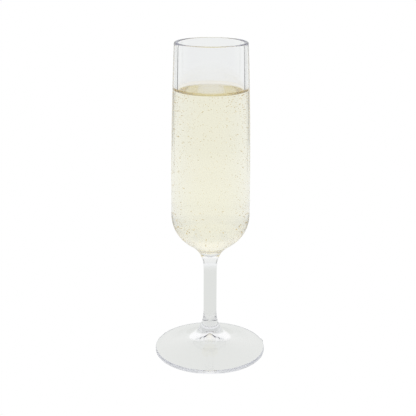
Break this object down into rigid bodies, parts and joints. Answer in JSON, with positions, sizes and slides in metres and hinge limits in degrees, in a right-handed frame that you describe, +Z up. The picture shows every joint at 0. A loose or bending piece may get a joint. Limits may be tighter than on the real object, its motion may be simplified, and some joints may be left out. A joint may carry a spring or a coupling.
{
  "type": "champagne flute",
  "caption": "Clear tulip-sided flute with a rounded bowl, solid stem and domed hollow foot, holding a pour of sparkling wine",
  "frame": {"origin": "on the table, under the middle of the foot", "axes": "+Z up along the flute's axis; X and Y are any two directions across it, because it is round"},
  "size_m": [0.0736, 0.0736, 0.208],
  "materials": {
    "clear_bowl": "polished",
    "clear_stem": "polished",
    "clear_foot": "polished",
    "wine": "gloss"
  },
  "bodies": {
    "root": {"bowl": "clear_bowl", "stem": "clear_stem", "foot": "clear_foot", "wine": "wine"}
  },
  "joints": []
}
